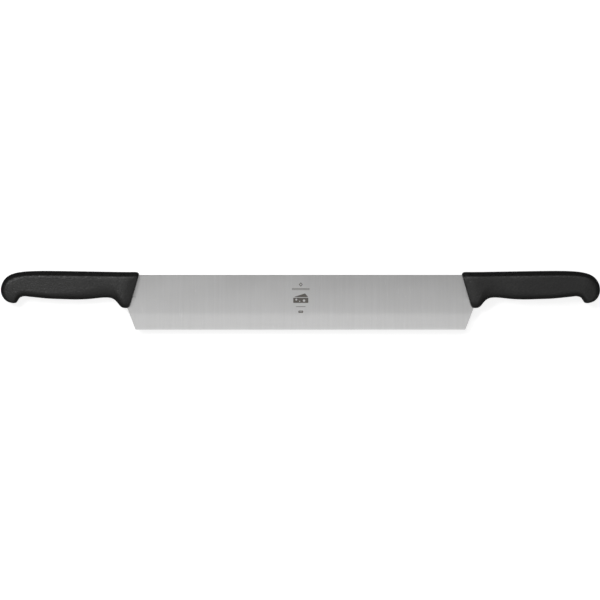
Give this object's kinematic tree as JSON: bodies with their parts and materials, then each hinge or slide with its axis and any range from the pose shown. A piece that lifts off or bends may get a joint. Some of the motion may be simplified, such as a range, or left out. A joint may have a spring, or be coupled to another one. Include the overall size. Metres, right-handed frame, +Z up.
{
  "type": "double-handled cheese knife",
  "caption": "Long, wide, straight stainless blade with a moulded black finger-guard handle at either end, pressed down with both hands through blocks and wheels of cheese.",
  "frame": {"origin": "centre of the underside of the bounding box: the middle of the knife's length and of its width, on the surface that it lies on", "axes": "+X along the knife towards the right-hand handle, +Y from the cutting edge to the spine, +Z up, square to the blade's flank"},
  "size_m": [0.6542, 0.0642, 0.022],
  "materials": {
    "blade_steel": "satin, ground from spine to edge",
    "handle_plastic": "black, fine moulded grain"
  },
  "bodies": {
    "root": {"blade": "blade_steel", "left_handle": "handle_plastic", "right_handle": "handle_plastic"}
  },
  "joints": []
}
